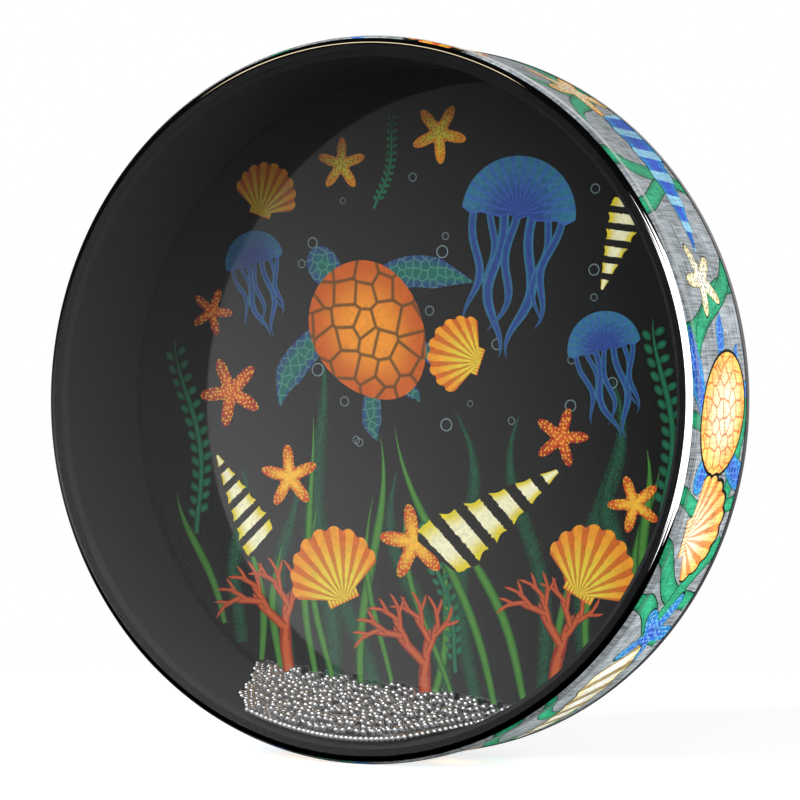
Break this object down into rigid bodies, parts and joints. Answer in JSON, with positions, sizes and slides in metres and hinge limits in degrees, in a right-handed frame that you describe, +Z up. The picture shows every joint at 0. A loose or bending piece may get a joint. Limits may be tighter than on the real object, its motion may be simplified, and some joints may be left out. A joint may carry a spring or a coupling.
{
  "type": "ocean drum",
  "caption": "Round closed frame drum with a clear front head, a dark printed rear head, a cloth-wrapped shell and loose steel beads that roll inside to sound like surf.",
  "frame": {"origin": "centre of the drum, on its axis and half way between the two heads", "axes": "+Y along the drum's axis from the clear front head to the printed rear head, +Z up with the drum standing on its rim, +X to the right seen from the front"},
  "size_m": [0.3052, 0.0636, 0.3052],
  "materials": {
    "shell_fibre": "charcoal lacquer on wound wood fibre, matt",
    "wrap_cloth": "grey linen weave with a bright printed sea-bed pattern, under a satin sealer",
    "bond": "black adhesive, smooth",
    "clear_film": "clear glossy polyester film",
    "printed_film": "black polyester film with a bright print, satin gloss",
    "bead_steel": "polished steel"
  },
  "bodies": {
    "drum": {"shell": "shell_fibre", "shell_wrap": "wrap_cloth", "front_bond": "bond", "rear_bond": "bond", "front_head": "clear_film", "rear_head": "printed_film"},
    "beads_1": {"beads_1_course_1": "bead_steel", "beads_1_course_2": "bead_steel"},
    "beads_2": {"beads_2_course_1": "bead_steel", "beads_2_course_2": "bead_steel", "beads_2_course_3": "bead_steel"},
    "beads_3": {"beads_3_course_1": "bead_steel", "beads_3_course_2": "bead_steel", "beads_3_course_3": "bead_steel", "beads_3_course_4": "bead_steel"},
    "beads_4": {"beads_4_course_1": "bead_steel", "beads_4_course_2": "bead_steel", "beads_4_course_3": "bead_steel", "beads_4_course_4": "bead_steel", "beads_4_course_5": "bead_steel"},
    "beads_5": {"beads_5_course_1": "bead_steel", "beads_5_course_2": "bead_steel", "beads_5_course_3": "bead_steel", "beads_5_course_4": "bead_steel", "beads_5_course_5": "bead_steel", "beads_5_course_6": "bead_steel"}
  },
  "joints": [
    {"name": "beads_1_roll", "type": "hinge", "parent": "drum", "child": "beads_1", "pos_m": [0, 0, 0], "axis": [0, 1, 0], "continuous": true},
    {"name": "beads_2_roll", "type": "hinge", "parent": "drum", "child": "beads_2", "pos_m": [0, 0, 0], "axis": [0, 1, 0], "continuous": true},
    {"name": "beads_3_roll", "type": "hinge", "parent": "drum", "child": "beads_3", "pos_m": [0, 0, 0], "axis": [0, 1, 0], "continuous": true},
    {"name": "beads_4_roll", "type": "hinge", "parent": "drum", "child": "beads_4", "pos_m": [0, 0, 0], "axis": [0, 1, 0], "continuous": true},
    {"name": "beads_5_roll", "type": "hinge", "parent": "drum", "child": "beads_5", "pos_m": [0, 0, 0], "axis": [0, 1, 0], "continuous": true}
  ]
}
